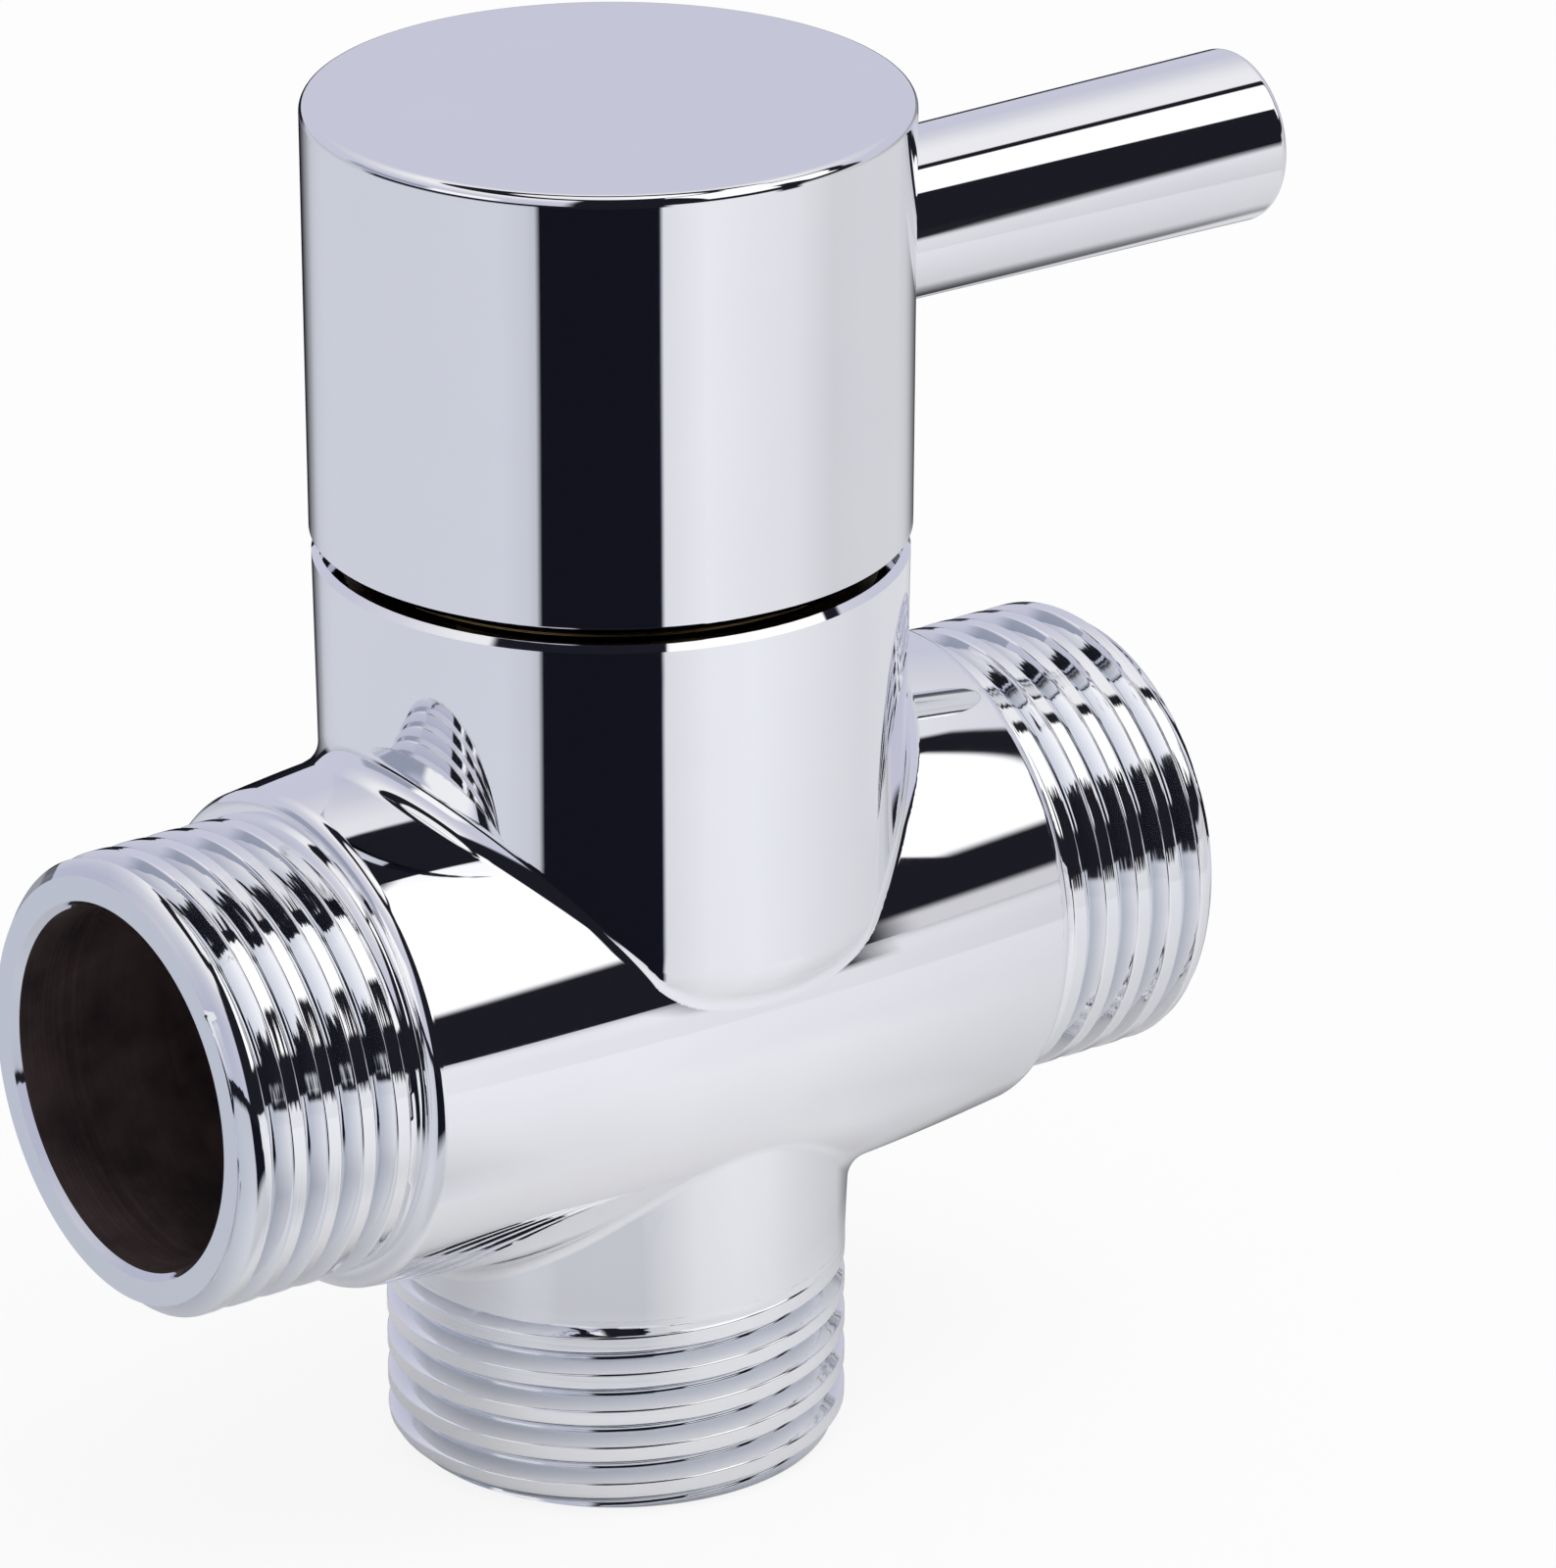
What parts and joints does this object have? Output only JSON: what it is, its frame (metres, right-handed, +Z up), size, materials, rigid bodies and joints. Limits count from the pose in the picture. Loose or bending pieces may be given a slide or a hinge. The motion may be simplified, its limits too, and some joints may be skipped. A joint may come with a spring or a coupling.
{
  "type": "shower diverter valve",
  "caption": "Chrome T-shaped shower diverter valve with male threaded ports and a cup handle; its side lever makes a quarter turn to redirect the water.",
  "frame": {"origin": "centre of the bottom port's end ring, the face the valve stands on", "axes": "+Z up along the handle's axis, +X along the side ports towards the outlet and along the lever at rest"},
  "size_m": [0.062, 0.0272, 0.0639],
  "materials": {
    "chrome_body": "bright chrome plate on brass",
    "chrome_handle": "bright chrome plate on brass",
    "cartridge_plastic": "moulded acetal",
    "driver_plastic": "moulded acetal",
    "disc_ceramic": "lapped alumina",
    "seal_rubber": "moulded rubber",
    "bare_brass": "turned brass",
    "clip_steel": "spring steel"
  },
  "bodies": {
    "valve": {"valve_body": "chrome_body", "cartridge_base": "cartridge_plastic", "cartridge_housing": "cartridge_plastic", "glide_washer": "driver_plastic", "fixed_disc": "disc_ceramic", "lower_seat_seal": "seal_rubber", "upper_seat_seal": "seal_rubber", "housing_oring": "seal_rubber", "gland_nut": "bare_brass"},
    "handle": {"moving_disc": "disc_ceramic", "disc_driver": "driver_plastic", "spindle": "bare_brass", "spindle_oring_lower": "seal_rubber", "spindle_oring_upper": "seal_rubber", "retaining_clip": "clip_steel", "handle_knob": "chrome_handle", "lever_rod": "chrome_handle"}
  },
  "joints": [
    {"name": "lever_turn", "type": "hinge", "parent": "valve", "child": "handle", "pos_m": [0, 0, 0.05], "axis": [0, 0, 1], "range_deg": [-90, 0]}
  ]
}
